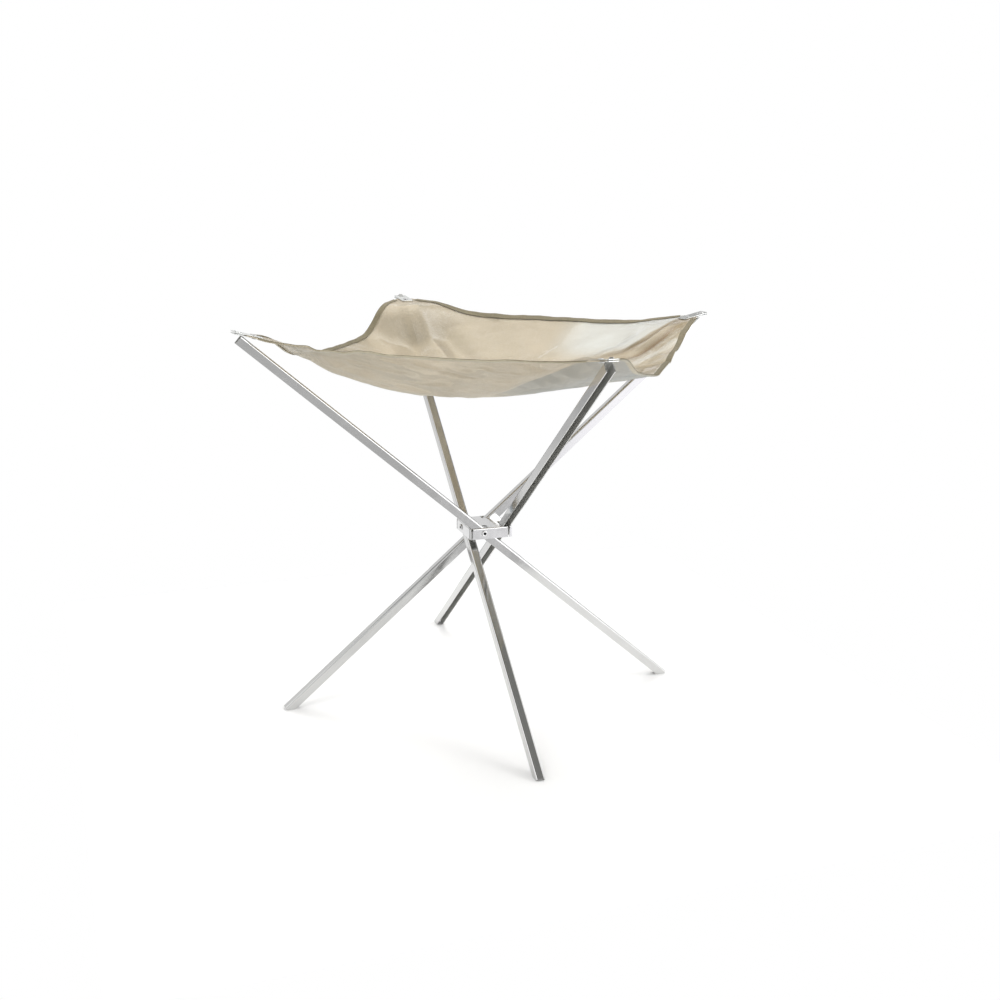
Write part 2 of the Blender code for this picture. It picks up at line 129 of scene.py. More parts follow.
def loose_object(name, bm):
    """An object straight from a bmesh, which is used up."""
    mesh = bpy.data.meshes.new(name)
    bm.to_mesh(mesh)
    bm.free()
    obj = bpy.data.objects.new(name, mesh)
    bpy.context.scene.collection.objects.link(obj)
    return obj


def punched(bm, cutters):
    """Take the cutters out of a solid, as a press tool would."""
    host = loose_object("blank", bm)
    tools = [loose_object(f"punch_{i}", tool) for i, tool in enumerate(cutters)]
    for tool in tools:
        modifier = host.modifiers.new("punch", "BOOLEAN")
        modifier.operation = "DIFFERENCE"
        modifier.solver = "EXACT"
        modifier.object = tool
    bpy.context.view_layer.update()
    out = bmesh.new()
    out.from_object(host, bpy.context.evaluated_depsgraph_get())
    for obj in [host, *tools]:
        bpy.data.objects.remove(obj, do_unlink=True)
    bmesh.ops.remove_doubles(out, verts=out.verts, dist=0.001)
    bmesh.ops.dissolve_limit(out, angle_limit=math.radians(0.2), verts=out.verts, edges=out.edges)
    return out


def rounded(bm, edges, radius, segments, clamped=False):
    """Round some edges. clamped keeps neighbouring bevels from running into each other."""
    bmesh.ops.bevel(bm, geom=edges, offset=radius, offset_type="OFFSET", segments=segments,
                    profile=0.5, affect="EDGES", material=-1, clamp_overlap=clamped)
    return bm


def break_edges(bm, width):
    """Round every edge that turns by more than 40 degrees, as tumbling or filing does."""
    sharp = [e for e in bm.edges if len(e.link_faces) == 2
             and e.calc_face_angle(0) > math.radians(40)]
    return rounded(bm, sharp, width, 2, clamped=True)


def thickened(bm, sheet):
    """Give a bent skin the thickness of its sheet, inwards."""
    bmesh.ops.recalc_face_normals(bm, faces=bm.faces)
    bmesh.ops.solidify(bm, geom=bm.faces[:], thickness=sheet)
    bmesh.ops.recalc_face_normals(bm, faces=bm.faces)
    return bm


def lay_grain(bm):
    """Flat coordinates in metres on every face, the first one along X wherever the face allows."""
    layer = bm.loops.layers.uv.new("grain")
    for face in bm.faces:
        n = face.normal
        biggest = max(range(3), key=lambda k: abs(n[k]))
        pick = {0: (1, 2), 1: (0, 2), 2: (0, 1)}[biggest]
        for loop in face.loops:
            co = loop.vert.co
            loop[layer].uv = (co[pick[0]] * MM, co[pick[1]] * MM)
    return bm


def mark_inside(bm, test):
    """Give the second finish, a darker one whose darkness is painted shade, to faces whose middle
    passes a test.
    """
    for face in bm.faces:
        if test(face.calc_center_median(), face.normal):
            face.material_index = 1
    return bm


def finished(name, bm, materials, body, place=None, stands_for=(), sharp=32, flat=True):
    """Place a shape, scale it to metres and hang it on its body.

    Edges that turn by more than sharp degrees stay sharp, and flat keeps flat faces flat.
    """
    if place is not None:
        bmesh.ops.transform(bm, matrix=place, verts=bm.verts)
    bmesh.ops.scale(bm, vec=(MM, MM, MM), verts=bm.verts)
    obj = loose_object(name, bm)
    obj.data.shade_smooth()
    obj.data.set_sharp_from_angle(angle=math.radians(sharp))
    if flat:
        even = obj.modifiers.new("even_shading", "WEIGHTED_NORMAL")
        even.keep_sharp = True
    for material in materials:
        obj.data.materials.append(material)
    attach(obj, body)
    if stands_for:
        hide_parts(*stands_for)
    return obj


print("helpers ready: block, drill, punched, rounded, break_edges, thickened, lay_grain,",
      "mark_inside, finished")

# %% [markdown]
# ## Node helpers
#
# A material is a small graph. A few helpers keep it readable: they add a node with its inputs
# filled, do a sum, map one range to another and mix two colours. Numbers that are the same all over
# the surface sit on the shader's own sockets, and only what varies is linked.

# %% Helpers for materials


def new_finish(name):
    """A material with an empty Principled shader, and its node tree."""
    mat = bpy.data.materials.new(name)
    mat.use_nodes = True
    return mat, mat.node_tree, mat.node_tree.nodes["Principled BSDF"]


def add(tree, kind, links=(), **values):
    """Add a node. values fill inputs by name or properties, links are (input, socket) pairs."""
    node = tree.nodes.new("ShaderNode" + kind)
    for key, value in values.items():
        if hasattr(node, key):
            setattr(node, key, value)
        else:
            node.inputs[key.replace("_", " ")].default_value = value
    for target, socket in links:
        tree.links.new(socket, node.inputs[target])
    return node


def maths(tree, operation, first, second=None, clamp=False):
    """One Math node, whose inputs are sockets or numbers."""
    node = tree.nodes.new("ShaderNodeMath")
    node.operation = operation
    node.use_clamp = clamp
    for i, value in enumerate([first] if second is None else [first, second]):
        if isinstance(value, (int, float)):
            node.inputs[i].default_value = value
        else:
            tree.links.new(value, node.inputs[i])
    return node.outputs[0]


def remap(tree, value, low, high, to_low, to_high):
    """Map a range of a value to another range."""
    return add(tree, "MapRange", [("Value", value)], clamp=True, From_Min=low, From_Max=high,
               To_Min=to_low, To_Max=to_high).outputs[0]


def between(tree, factor, one, two):
    """Colour between two, which are sockets or plain colours, by a factor socket."""
    node = tree.nodes.new("ShaderNodeMix")
    node.data_type = "RGBA"
    tree.links.new(factor, node.inputs["Factor"])
    for key, value in (("A", one), ("B", two)):
        if isinstance(value, tuple):
            node.inputs[key].default_value = (*value, 1)
        else:
            tree.links.new(value, node.inputs[key])
    return node.outputs["Result"]


print("node helpers ready: new_finish, add, maths, remap, between")

# %% [markdown]
# ## Brushed stainless steel
#
# Cold rolled strip is brushed along its length. The lines are far finer than a pixel, so what the
# eye sees is a highlight drawn out across them, faint long streaks, and slow cloudy changes in
# roughness from handling. Stretched noise gives the lines, and broad noise gives the clouds.

# %% Steel finishes
LINES_PER_METRE = (14, 3600, 1)      # along the brushing, across it and through the sheet
CLOUDS_PER_METRE = 26.0
MARKS_PER_METRE = 140.0


def brushed_steel(name, bright, dull, roughness, streak=0.06, brushing=0.5, seed=0.0,
                  relief=0.12, metal=1.0):
    """Steel brushed along the first grain coordinate.

    streak is how much the roughness varies between lines, brushing how far highlights are drawn
    out, relief how far the lines stand out, and metal falls below 1 under a dull film.
    """
    mat, tree, shader = new_finish(name)
    coords = add(tree, "UVMap", uv_map="grain").outputs[0]
    stretched = add(tree, "Mapping", [("Vector", coords)], Scale=LINES_PER_METRE,
                    Location=(seed, seed, 0)).outputs[0]
    lines = add(tree, "TexNoise", [("Vector", stretched)], Scale=1.0, Detail=4.0,
                Roughness=0.6).outputs["Fac"]
    place = add(tree, "TexCoord").outputs["Object"]
    clouds = add(tree, "TexNoise", [("Vector", place)], Scale=CLOUDS_PER_METRE, Detail=3.0,
                 Roughness=0.55).outputs["Fac"]
    marks = add(tree, "TexNoise", [("Vector", place)], Scale=MARKS_PER_METRE,
                Detail=2.0).outputs["Fac"]
    tone = maths(tree, "ADD", maths(tree, "MULTIPLY", lines, 0.55),
                 maths(tree, "MULTIPLY", clouds, 0.45))
    tree.links.new(between(tree, remap(tree, tone, 0.36, 0.64, 0, 1), dull, bright),
                   shader.inputs["Base Color"])
    rough = maths(tree, "ADD", remap(tree, clouds, 0.3, 0.7, roughness - 0.05, roughness + 0.05),
                  remap(tree, lines, 0.3, 0.7, -streak / 2, streak / 2))
    rough = maths(tree, "ADD", rough, remap(tree, marks, 0.58, 0.75, 0, 0.05), clamp=True)
    tree.links.new(rough, shader.inputs["Roughness"])
    bump = add(tree, "Bump", [("Height", lines)], Strength=relief, Distance=0.02 * MM)
    tree.links.new(bump.outputs[0], shader.inputs["Normal"])
    tangent = add(tree, "Tangent", direction_type="UV_MAP", uv_map="grain")
    tree.links.new(tangent.outputs[0], shader.inputs["Tangent"])
    shader.inputs["Metallic"].default_value = metal
    shader.inputs["Anisotropic"].default_value = brushing
    return mat


leg_finish = brushed_steel("leg_steel_brushed", (0.65, 0.65, 0.645), (0.58, 0.58, 0.575), 0.13,
                            brushing=0.25)
hub_finish = brushed_steel("hub_steel_satin", (0.76, 0.76, 0.76), (0.69, 0.69, 0.69), 0.17,
                           brushing=0.2, seed=3.1)
plate_finish = brushed_steel("plate_steel_polished", (0.82, 0.83, 0.81), (0.7, 0.71, 0.69), 0.18,
                             brushing=0.3, seed=7.7)
rivet_finish = brushed_steel("rivet_steel_turned", (0.72, 0.72, 0.72), (0.6, 0.6, 0.6), 0.3,
                             brushing=0.0, seed=5.3)
# a darker, duller copy of the same steel for inner faces: its darkness is painted shade
inner_shade_finish = brushed_steel("steel_inside_dull_painted_shade", (0.4, 0.4, 0.38), (0.36, 0.36, 0.34), 0.55,
                             streak=0.0, brushing=0.0, seed=9.2, relief=0.0, metal=0.4)
# near-black finish for the rivet bores: painted shade in the holes
bore_shade_finish = brushed_steel("rivet_bore_painted_shade", (0.07, 0.07, 0.07), (0.03, 0.03, 0.03), 0.6,
                            brushing=0.0, seed=2.6)
print("steel finishes:", *(finish.name for finish in (
    leg_finish, hub_finish, plate_finish, rivet_finish, inner_shade_finish, bore_shade_finish)))

# %% [markdown]
# ## Woven steel wire
#
# The sheet is plain weave: round wires pass over and under each other, and not quite a third of
# the area is open. That is why it looks pale where one layer faces the eye with light behind it,
# and solid where it slants away. The holes are cut by the shader on both faces of the thin sheet,
# so a slanting look meets more wire, as it does on the real one. The folded hems lie double, so
# theirs are closed.

# %% Wire cloth finishes
WIRE_PITCH = 0.8 * MM      # wire to wire
WIRE_WIDTH = 0.46          # share of the pitch that the wire covers
WIRE_RELIEF = 0.25 * MM
WIRE_METAL = 0.8           # oxide dims some of the shine


def weave_waves(tree, coords):
    """Distance from the nearest wire's middle in each direction, 0 to 0.5, and a crossing sign."""
    axes = add(tree, "SeparateXYZ", [("Vector", coords)]).outputs
    across = maths(tree, "DIVIDE", axes["X"], WIRE_PITCH)
    along = maths(tree, "DIVIDE", axes["Y"], WIRE_PITCH)
    near = []
    for value in (across, along):
        part = maths(tree, "FRACT", value)
        near.append(maths(tree, "ABSOLUTE", maths(tree, "SUBTRACT", part, 0.5)))
    waves = [maths(tree, "SINE", maths(tree, "MULTIPLY", value, math.pi))
             for value in (across, along)]
    return near, maths(tree, "MULTIPLY", *waves)


def wire_cloth(name, pale, deep, holes, roughness=0.33):
    """Plain weave on the cloth coordinates. holes cuts the openings between the wires."""
    mat, tree, shader = new_finish(name)
    coords = add(tree, "UVMap", uv_map="cloth").outputs[0]
    near, over = weave_waves(tree, coords)
    half = WIRE_WIDTH / 2
    round_wires = []
    for value in near:
        share = maths(tree, "DIVIDE", value, half)
        round_wires.append(maths(tree, "SQRT", maths(tree, "MAXIMUM", 0.0, maths(
            tree, "SUBTRACT", 1.0, maths(tree, "MULTIPLY", share, share)))))
    lift = remap(tree, over, -1, 1, 0.25, 0.75)
    one = maths(tree, "MULTIPLY", round_wires[0], lift)
    two = maths(tree, "MULTIPLY", round_wires[1], maths(tree, "SUBTRACT", 1.0, lift))
    height = maths(tree, "MAXIMUM", one, two)
    broad = add(tree, "TexNoise", [("Vector", coords)], Scale=11.0, Detail=3.0,
                Roughness=0.55).outputs["Fac"]
    fine = add(tree, "TexNoise", [("Vector", coords)], Scale=420.0, Detail=2.0).outputs["Fac"]
    tone = maths(tree, "ADD", maths(tree, "MULTIPLY", broad, 0.6),
                 maths(tree, "MULTIPLY", fine, 0.4))
    wire_colour = between(tree, remap(tree, tone, 0.36, 0.64, 0, 1), deep, pale)
    if holes:
        # this attribute holds heat colour and painted fold shade and highlights
        stain_and_shade = add(tree, "Attribute", attribute_name="stain_and_shade").outputs
        wire_colour = between(tree, stain_and_shade["Alpha"], wire_colour, stain_and_shade["Color"])
    tree.links.new(wire_colour, shader.inputs["Base Color"])
    tree.links.new(remap(tree, broad, 0.3, 0.7, roughness - 0.06, roughness + 0.08),
                   shader.inputs["Roughness"])
    bump = add(tree, "Bump", [("Height", height)], Strength=0.5, Distance=WIRE_RELIEF)
    tree.links.new(bump.outputs[0], shader.inputs["Normal"])
    shader.inputs["Metallic"].default_value = WIRE_METAL
    if holes:
        nearest = maths(tree, "MINIMUM", near[0], near[1])
        wire = maths(tree, "LESS_THAN", nearest, half)
        tree.links.new(wire, shader.inputs["Alpha"])
    return mat


cloth_finish = wire_cloth("wire_cloth_open", (0.71, 0.62, 0.475), (0.55, 0.475, 0.345), holes=True)
turned_finish = wire_cloth("wire_cloth_turned", (0.58, 0.52, 0.4), (0.45, 0.4, 0.29), holes=False)
hem_finish = wire_cloth("wire_cloth_folded", (0.34, 0.295, 0.2), (0.2, 0.175, 0.11), holes=False,
                        roughness=0.5)
print("cloth finishes:", cloth_finish.name, turned_finish.name, hem_finish.name,
      "open share:", round((1 - WIRE_WIDTH) ** 2, 2))

# %% [markdown]
# ## Legs
#
# Each leg is a strip of 1 mm steel folded into a channel with its open side down. A press brake
# leaves a round outer bend, so the blank here is a box with its bottom and ends taken away, its two
# long edges bevelled round and its skin thickened inwards. At the tip only a narrow tongue of the
# web is left to hook through the sheet's corner plates, and the foot is cut level with the ground.

# %% Leg sizes
LEG_TIP = 342.5            # pivot to the flange ends at the tip
LEG_FOOT = 307.5           # pivot to the end of the foot
LEG_ANGLE = 40.5           # above the ground when open
LEG_WIDTH = 9.5
LEG_DEPTH = 10.0
LEG_SHEET = 1.0
LEG_BEND = 2.2             # outer radius of a rolled bend
FOOT_SQUARE = 4.0          # of the foot end, the rest is cut level
TONGUE_LENGTH = 8.5
TONGUE_WIDTH = 5.0
TONGUE_ROUND = 1.3         # at the corners of its end
RIVET_HOLE = 2.2           # radius
EDGE_BREAK = 0.18
NEAR = 0.05                # slack for picking faces by their place
CUT_EDGE = 0.3             # of the folded sheet's lower edge, which keeps the outer finish
LEGS = "abcd"
PIVOT = Vector(frame["joints"][0]["pos_m"]) / MM      # of leg A
THETA = math.radians(LEG_ANGLE)
print("leg length", LEG_TIP + LEG_FOOT, "pivot at", [round(x, 2) for x in PIVOT])

# %% One folded leg, flat on the bench


def quarter_turn(name):
    """Legs B, C and D are leg A turned a quarter each time."""
    return Matrix.Rotation(math.radians(90 * LEGS.index(name)), 4, "Z")


def folded_blank():
    """A channel along X with its web on top and its pivot at the origin."""
    end = -(LEG_TIP + TONGUE_LENGTH)
    bm = block((end, -LEG_WIDTH / 2, -LEG_DEPTH / 2), (LEG_FOOT, LEG_WIDTH / 2, LEG_DEPTH / 2))
    gone = [f for f in bm.faces if f.normal.z < -0.5 or abs(f.normal.x) > 0.5]
    bmesh.ops.delete(bm, geom=gone, context="FACES")
    bends = [e for e in bm.edges if all(v.co.z > 0 for v in e.verts)
             and abs(e.verts[0].co.x - e.verts[1].co.x) > 1]
    return thickened(rounded(bm, bends, LEG_BEND, 8), LEG_SHEET)


def leg_punches():
    """What the press takes off: the tongue's sides, the foot's wedge and the rivet hole."""
    far = 3 * LEG_WIDTH
    end = -LEG_TIP - 2 * TONGUE_LENGTH
    half = TONGUE_WIDTH / 2
    wedge = block((-far, -far, -far), (far, far, 0))
    heel = Matrix.Translation((LEG_FOOT, 0, LEG_DEPTH / 2 - FOOT_SQUARE))
    bmesh.ops.transform(wedge, matrix=heel @ Matrix.Rotation(-THETA, 4, "Y"), verts=wedge.verts)
    return [
        block((end, -far, -far), (-LEG_TIP, far, LEG_DEPTH / 2 - LEG_SHEET)),
        block((end, half, -far), (-LEG_TIP, far, far)),
        block((end, -far, -far), (-LEG_TIP, -half, far)),
        drill(RIVET_HOLE, "y", (0, 0, 0), 2 * far),
        wedge,
    ]


blank = punched(folded_blank(), leg_punches())
nose = [e for e in blank.edges if all(v.co.x < -LEG_TIP - TONGUE_LENGTH + NEAR for v in e.verts)
        and abs(e.verts[0].co.z - e.verts[1].co.z) > LEG_SHEET / 2]
rounded(blank, nose, TONGUE_ROUND, 4)
lay_grain(break_edges(blank, EDGE_BREAK))
inner_half = LEG_WIDTH / 2 - LEG_SHEET
# the channel's inner faces get the darker inner finish, which is painted shade
mark_inside(blank, lambda co, n: abs(co.y) < inner_half + NEAR
            and co.z < LEG_DEPTH / 2 - LEG_SHEET + NEAR and abs(n.x) < 0.5
            and co.z > -LEG_DEPTH / 2 + CUT_EDGE)
low = [min(v.co[k] for v in blank.verts) for k in range(3)]
high = [max(v.co[k] for v in blank.verts) for k in range(3)]
print("one leg:", len(blank.faces), "faces, box", [round(b - a, 2) for a, b in zip(low, high)])

# %% Four legs on their pivots
tilt = Matrix.Rotation(THETA, 4, "Y")
for name in LEGS:
    place = quarter_turn(name) @ Matrix.Translation(PIVOT) @ tilt
    finished(f"channel_leg_{name}", blank.copy(), [leg_finish, inner_shade_finish], f"leg_{name}", place,
             [f"leg_{name}"])
blank.free()

# %% [markdown]
# ## Hub
#
# The hub starts as a flat blank with a square middle and four ears. The ears are folded down to
# make walls, and a slot beside each wall lets its leg swing up. Two slits at each corner, one
# narrow and one wider, let the sheet fold there. Each ends in a small round hole, so dark lines
# show beside a narrow strip. Here a box without its bottom is bevelled, thickened and cut.

# %% Hub sizes
LEG_PLANE = 18.4           # leg middle plane from the hub axis
GAP = 0.3
HUB_SHEET = 1.0
HUB_BEND = 1.3
HUB_INNER = LEG_PLANE + LEG_WIDTH / 2 + GAP
HUB_OUTER = HUB_INNER + HUB_SHEET
HUB_BASE = PIVOT.z - 6.3   # lower edge of the walls
HUB_TOP = PIVOT.z + ((HUB_INNER + PIVOT.x) * math.tan(THETA)
                     - (LEG_DEPTH / 2 + GAP) / math.cos(THETA))
SLOT_END = 2.7             # of each leg slot, from the hub's middle plane
SLOT_FLOOR = HUB_BASE + 5  # lower end of the slot's punch, in the hollow
SEAMS = ((1.4, 1.1), (3.2, 1.5))     # start and width of the slits on a corner's right and left
RELIEF = (1.4, 1.7)        # radius and depth of the round hole that ends each slit
print("hub", round(2 * HUB_OUTER, 2), "mm across,", round(HUB_TOP - HUB_BASE, 2), "high")

# %% Folded hub


def folded_hub():
    """The square cap with its four walls."""
    bm = block((-HUB_OUTER, -HUB_OUTER, HUB_BASE), (HUB_OUTER, HUB_OUTER, HUB_TOP))
    bmesh.ops.delete(bm, geom=[f for f in bm.faces if f.normal.z < -0.5], context="FACES")
    folds = [e for e in bm.edges if any(v.co.z > HUB_TOP - 0.01 for v in e.verts)]
    return thickened(rounded(bm, folds, HUB_BEND, 6), HUB_SHEET)


cutters = []
slot_inner = LEG_PLANE - LEG_WIDTH / 2 - GAP
slit_out, slit_in = -HUB_OUTER - REACH, -HUB_INNER + HUB_SHEET
slit_low, slit_top = HUB_BASE - REACH, HUB_TOP - RELIEF[1]
right, left = ([-HUB_OUTER + start, -HUB_OUTER + start + width] for start, width in SEAMS)
for name in LEGS:
    turn = quarter_turn(name)
    tools = [block((-HUB_INNER, -HUB_INNER, SLOT_FLOOR), (-SLOT_END, -slot_inner, HUB_TOP + REACH)),
             block((right[0], slit_out, slit_low), (right[1], slit_in, slit_top)),
             block((slit_out, left[0], slit_low), (slit_in, left[1], slit_top)),
             drill(RELIEF[0], "y", (sum(right) / 2, -HUB_OUTER, slit_top), REACH),
             drill(RELIEF[0], "x", (-HUB_OUTER, sum(left) / 2, slit_top), REACH),
             drill(RIVET_HOLE, "y", (PIVOT.x, -HUB_OUTER, PIVOT.z), REACH + HUB_SHEET)]
    for tool in tools:
        bmesh.ops.transform(tool, matrix=turn, verts=tool.verts)
        cutters.append(tool)
hub_blank = lay_grain(break_edges(punched(folded_hub(), cutters), EDGE_BREAK))
print("hub:", len(hub_blank.faces), "faces")
# the inner faces of the hub's cap and walls get the darker inner finish, which is painted shade
mark_inside(hub_blank, lambda co, n: max(abs(co.x), abs(co.y)) < HUB_INNER + NEAR
            and HUB_BASE + CUT_EDGE < co.z < HUB_TOP - HUB_SHEET + NEAR)
finished("folded_hub", hub_blank, [hub_finish, inner_shade_finish], "hub", None, ["hub"])

# %% [markdown]
# ## Rivets
#
# A tubular rivet is turned: its outline is drawn once on one side of its axis and spun round. The
# pivot rivets are hollow at the visible end, so a small dark bore shows in each head; its
# near-black finish is painted shade in the hole. The corner rivets are solid. Spin with merging
# closes the start onto the end.

# %% Turned rivets
# radii of shank, head and bore, height of the head and depth of the bore
PIVOT_RIVET = {"shank": 1.9, "head": 3.2, "height": 0.9, "bore": 1.55, "depth": 4.0}
CORNER_RIVET = {"shank": 1.3, "head": 2.6, "height": 0.7, "steps": 36}
HEAD_SOFT = 0.6                      # share of a head's height that is rounded
HEAD_ARC = (0, 0.35, 0.7, 1)         # points on that quarter circle
BORE_RIM = ((0.0, 0.3), (0.08, 0.1), (0.3, 0.0))     # outwards from the bore, and depth


def rivet(shank, head, height, low, high, bore=0.0, depth=0.0, steps=48):
    """A headed rivet along Z between the outer sides of what it holds."""
    soft = height * HEAD_SOFT
    start = low - height
    arc = [(head - soft + soft * math.sin(share * math.pi / 2),
            soft * math.cos(share * math.pi / 2)) for share in HEAD_ARC]
    outline = [(0, start)]
    if bore:
        outline = [(0, start + depth), (bore, start + depth)]
        outline += [(bore + out, start + down) for out, down in BORE_RIM]
    outline += [(r, start + soft - rise) for r, rise in arc]
    outline += [(head, low), (shank, low), (shank, high), (head, high)]
    outline += [(r, high + height - soft + rise) for r, rise in reversed(arc)]
    outline.append((0, high + height))
    bm = bmesh.new()
    points = [bm.verts.new((r, 0, z)) for r, z in outline]
    edges = [bm.edges.new(pair) for pair in zip(points[:-1], points[1:])]
    bmesh.ops.spin(bm, geom=points + edges, cent=(0, 0, 0), axis=(0, 0, 1), angle=2 * math.pi,
                   steps=steps, use_merge=True, use_duplicate=False)
    bmesh.ops.remove_doubles(bm, verts=bm.verts, dist=1e-4)
    bmesh.ops.recalc_face_normals(bm, faces=bm.faces)
    return lay_grain(bm)


outer_side = -(LEG_WIDTH / 2 + GAP + HUB_SHEET + GAP)
inner_side = LEG_WIDTH / 2 + GAP
bore_end = outer_side - PIVOT_RIVET["height"] + PIVOT_RIVET["depth"]
lying = Matrix.Rotation(math.radians(-90), 4, "X")
for name in LEGS:
    shape = rivet(low=outer_side, high=inner_side, **PIVOT_RIVET)
    # the bore's faces get the near-black finish, which is painted shade
    mark_inside(shape, lambda co, n: math.hypot(co.x, co.y) < PIVOT_RIVET["bore"] + NEAR / 2
                and co.z < bore_end + NEAR)
    place = quarter_turn(name) @ Matrix.Translation(PIVOT) @ lying
    made = finished(f"turned_pivot_rivet_{name}", shape, [rivet_finish, bore_shade_finish], "hub", place,
                    [f"pivot_rivet_{name}"])
print("pivot rivet:", len(made.data.vertices), "points")

# %% [markdown]
# ## Corner plates
#
# Two small plates hold each corner of the cloth between them, with one rivet. A slot near the outer
# end hooks over the tongue of the leg. A plate slopes down towards the middle, each one by its own
# angle, because the cloth pulls harder at some corners than at others.

# %% Corner plate sizes
CORNER_TILT = {"a": 15.0, "b": 9.5, "c": 12.0, "d": 6.0}
CLOTH_THICK = 0.6
PLATE_SHEET = 0.6
PLATE_WIDE = 15.0
PLATE_INNER = 22.0
PLATE_STACK = PLATE_SHEET + GAP + CLOTH_THICK / 2      # lower side of the stack to the cloth
HOOK_ANGLE = THETA - math.radians(max(CORNER_TILT.values()))
SLOT_LONG = ((2 * PLATE_STACK + GAP) / math.tan(HOOK_ANGLE) + LEG_SHEET / math.sin(HOOK_ANGLE)
             + GAP)
HOOK_SLACK = 0.8                       # beside the tongue
SLOT_WIDE = TONGUE_WIDTH + 2 * HOOK_SLACK
PLATE_OUTER = SLOT_LONG + 1.9          # with the metal outside the slot
PLATE_ROUND = 3.0                      # at its corners
SLOT_ROUND = 0.6
PLATE_BREAK = 0.12
RIVET_AT = 13.0                        # from the leg's shoulder, towards the middle


def shoulder():
    """Top corner of leg A's flange ends, where its plate rests."""
    sin, cos = math.sin(THETA), math.cos(THETA)
    return Vector((PIVOT.x - LEG_TIP * cos + LEG_DEPTH / 2 * sin, PIVOT.y,
                   PIVOT.z + LEG_TIP * sin + LEG_DEPTH / 2 * cos))


def plate_frame(name):
    """Placement of a corner plate: x outwards, z up from the lower plate's underside."""
    point = shoulder()
    yaw = Matrix.Rotation(math.atan2(point.y, point.x), 4, "Z")
    slope = Matrix.Rotation(-math.radians(CORNER_TILT[name]), 4, "Y")
    return (quarter_turn(name) @ Matrix.Translation(point) @ yaw @ slope
            @ Matrix.Translation((0, 0, GAP)))


print("plate", round(PLATE_OUTER + PLATE_INNER, 1), "by", PLATE_WIDE, "mm, slot",
      round(SLOT_LONG, 1), "by", round(SLOT_WIDE, 1))

# %% Pressed corner plates


def pressed_plate():
    """Rounded plate with its hook slot and rivet hole, and the burr taken off."""
    bm = block((-PLATE_INNER, -PLATE_WIDE / 2, 0), (PLATE_OUTER, PLATE_WIDE / 2, PLATE_SHEET))
    corners = [e for e in bm.edges if abs(e.verts[0].co.z - e.verts[1].co.z) > 0.1]
    rounded(bm, corners, PLATE_ROUND, 8)
    slot = block((0, -SLOT_WIDE / 2, -REACH), (SLOT_LONG, SLOT_WIDE / 2, REACH))
    corners = [e for e in slot.edges if abs(e.verts[0].co.z - e.verts[1].co.z) > REACH]
    rounded(slot, corners, SLOT_ROUND, 3)
    hole = drill(CORNER_RIVET["shank"] + GAP, "z", (-RIVET_AT, 0, 0), 2 * REACH)
    return lay_grain(break_edges(punched(bm, [slot, hole]), PLATE_BREAK))


plate = pressed_plate()
stack_top = 2 * PLATE_STACK
for name in LEGS:
    place = plate_frame(name)
    finished(f"lower_corner_plate_{name}", plate.copy(), [plate_finish], "net", place,
             [f"plate_lower_{name}"])
    finished(f"upper_corner_plate_{name}", plate.copy(), [plate_finish], "net",
             place @ Matrix.Translation((0, 0, stack_top - PLATE_SHEET)),
             [f"plate_upper_{name}"])
    shape = rivet(low=-GAP, high=stack_top + GAP, **CORNER_RIVET)
    finished(f"headed_corner_rivet_{name}", shape, [rivet_finish], "net",
             place @ Matrix.Translation((-RIVET_AT, 0, 0)), [f"corner_rivet_{name}"])
print("plate:", len(plate.faces), "faces, 8 plates and 4 rivets")
plate.free()

# %% [markdown]
# ## The hanging cloth
#
# Wire cloth hangs like stiff paper: between two corners a side sags, and from each corner the
# pull runs inwards along the diagonal as a taut ridge with slack valleys beside it. The main form
# is a few such rules, with the same numbers as the solid model. Folds and crumples from the
# photograph come on top. A flat grid of points is moved onto this surface, then given thickness.

# %% Drape of the cloth
SIDE_SAG = {"ab": (11.0, 1.65), "bc": (42.0, 1.25), "dc": (14.0, 5.5), "ad": (40.0, 2.3)}
BOWL = (26.0, 1.4, 0.7)              # depth, gather, skew towards side AD
CORNER_FLAT = (42.0, 105.0)
FOLD = (3.0, 52.0, 45.0)             # height, pitch and spread across the diagonal
FOLD_RISE = (42.0, 105.0)
FOLD_FADE = (160.0, 250.0)
CORNER_OUT = 3.0                     # cloth's corner point, outwards from the leg's shoulder

corner = {n: np.array(plate_frame(n) @ Vector((CORNER_OUT, 0, PLATE_STACK))) for n in LEGS}
SIDE = float(np.linalg.norm((corner["b"] - corner["a"])[:2]))


def ease(x, low=0.0, high=1.0):
    """Smooth step from 0 at low to 1 at high."""
    x = np.clip((x - low) / (high - low), 0.0, 1.0)
    return x * x * (3 - 2 * x)


def sag(side, t):
    """How far a side hangs below the line between its corners."""
    depth, power = SIDE_SAG[side]
    return depth * (1 - np.abs(t) ** power)


